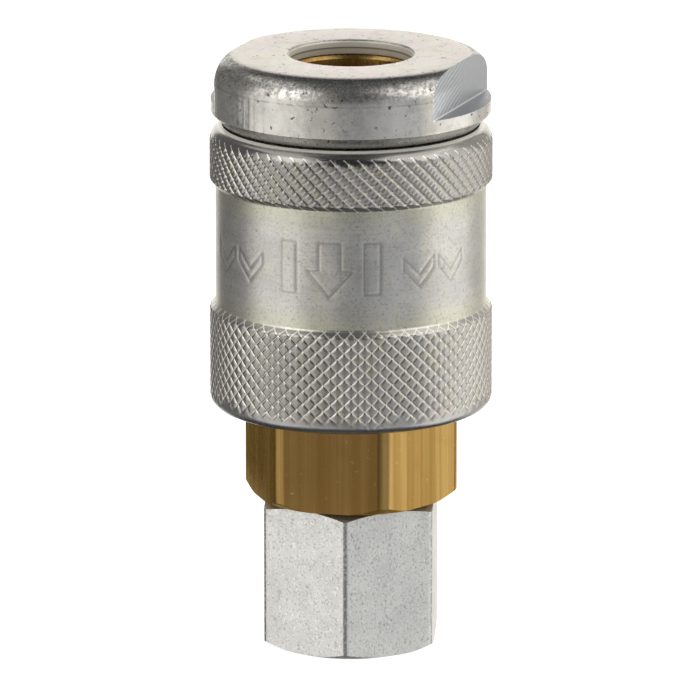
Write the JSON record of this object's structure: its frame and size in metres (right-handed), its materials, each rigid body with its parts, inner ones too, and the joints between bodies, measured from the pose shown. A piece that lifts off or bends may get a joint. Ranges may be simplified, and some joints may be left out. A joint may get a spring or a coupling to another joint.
{
  "type": "quick disconnect coupler",
  "caption": "Pull-back sleeve, ball-lock quick disconnect coupler with a shut-off valve, a brass body, a steel nose cap and a female pipe thread.",
  "frame": {"origin": "centre of the connector's bottom face, where the port opens", "axes": "+Z along the coupler's axis, from the threaded port to the mouth that takes the plug"},
  "size_m": [0.028, 0.028, 0.0597],
  "materials": {
    "cap_steel": "zinc-plated turned steel, satin, worn",
    "sleeve_steel": "zinc-plated knurled steel, faint yellow tint",
    "connector_steel": "zinc-plated steel, fine sandy grain",
    "brass": "drawn and turned brass, fine lines",
    "spring_steel": "bright drawn wire",
    "washer_steel": "stamped, satin",
    "ball_steel": "polished hardened steel",
    "seal_rubber": "matt nitrile rubber"
  },
  "bodies": {
    "housing": {"nose_cap": "cap_steel", "valve_body": "brass", "connector": "connector_steel", "connector_seal": "seal_rubber", "plug_seal": "seal_rubber", "valve_spring_plate": "washer_steel", "valve_spring": "spring_steel", "sleeve_spring": "spring_steel", "sleeve_spring_washer": "washer_steel"},
    "sleeve_carrier": {"sleeve_thrust_washer": "washer_steel"},
    "sleeve_shell": {"sleeve": "sleeve_steel"},
    "poppet": {"valve": "brass", "valve_seal": "seal_rubber"},
    "ball_1": {"lock_ball_1": "ball_steel"},
    "ball_2": {"lock_ball_2": "ball_steel"},
    "ball_3": {"lock_ball_3": "ball_steel"},
    "ball_4": {"lock_ball_4": "ball_steel"},
    "ball_5": {"lock_ball_5": "ball_steel"},
    "ball_6": {"lock_ball_6": "ball_steel"},
    "ball_7": {"lock_ball_7": "ball_steel"},
    "ball_8": {"lock_ball_8": "ball_steel"}
  },
  "joints": [
    {"name": "sleeve_pull", "type": "slide", "parent": "housing", "child": "sleeve_carrier", "axis": [0, 0, -1], "range_m": [0, 0.004], "stiffness_N_per_m": 2200, "springref_m": -0.005, "deforming": ["sleeve_spring"]},
    {"name": "sleeve_spin", "type": "hinge", "parent": "sleeve_carrier", "child": "sleeve_shell", "pos_m": [0, 0, 0.041], "axis": [0, 0, 1], "continuous": true},
    {"name": "valve_open", "type": "slide", "parent": "housing", "child": "poppet", "axis": [0, 0, -1], "range_m": [0, 0.0035], "stiffness_N_per_m": 500, "springref_m": -0.004, "deforming": ["valve_spring"]},
    {"name": "ball_1_lift", "type": "slide", "parent": "housing", "child": "ball_1", "axis": [1, 0, 0], "range_m": [0, 0.001]},
    {"name": "ball_2_lift", "type": "slide", "parent": "housing", "child": "ball_2", "axis": [0.7071, 0.7071, 0], "range_m": [0, 0.001]},
    {"name": "ball_3_lift", "type": "slide", "parent": "housing", "child": "ball_3", "axis": [0, 1, 0], "range_m": [0, 0.001]},
    {"name": "ball_4_lift", "type": "slide", "parent": "housing", "child": "ball_4", "axis": [-0.7071, 0.7071, 0], "range_m": [0, 0.001]},
    {"name": "ball_5_lift", "type": "slide", "parent": "housing", "child": "ball_5", "axis": [-1, 0, 0], "range_m": [0, 0.001]},
    {"name": "ball_6_lift", "type": "slide", "parent": "housing", "child": "ball_6", "axis": [-0.7071, -0.7071, 0], "range_m": [0, 0.001]},
    {"name": "ball_7_lift", "type": "slide", "parent": "housing", "child": "ball_7", "axis": [0, -1, 0], "range_m": [0, 0.001]},
    {"name": "ball_8_lift", "type": "slide", "parent": "housing", "child": "ball_8", "axis": [0.7071, -0.7071, 0], "range_m": [0, 0.001]}
  ],
  "couplings": [
    {"joint": "ball_1_lift", "follows": "sleeve_pull", "ratio": 0.25},
    {"joint": "ball_2_lift", "follows": "sleeve_pull", "ratio": 0.25},
    {"joint": "ball_3_lift", "follows": "sleeve_pull", "ratio": 0.25},
    {"joint": "ball_4_lift", "follows": "sleeve_pull", "ratio": 0.25},
    {"joint": "ball_5_lift", "follows": "sleeve_pull", "ratio": 0.25},
    {"joint": "ball_6_lift", "follows": "sleeve_pull", "ratio": 0.25},
    {"joint": "ball_7_lift", "follows": "sleeve_pull", "ratio": 0.25},
    {"joint": "ball_8_lift", "follows": "sleeve_pull", "ratio": 0.25}
  ]
}
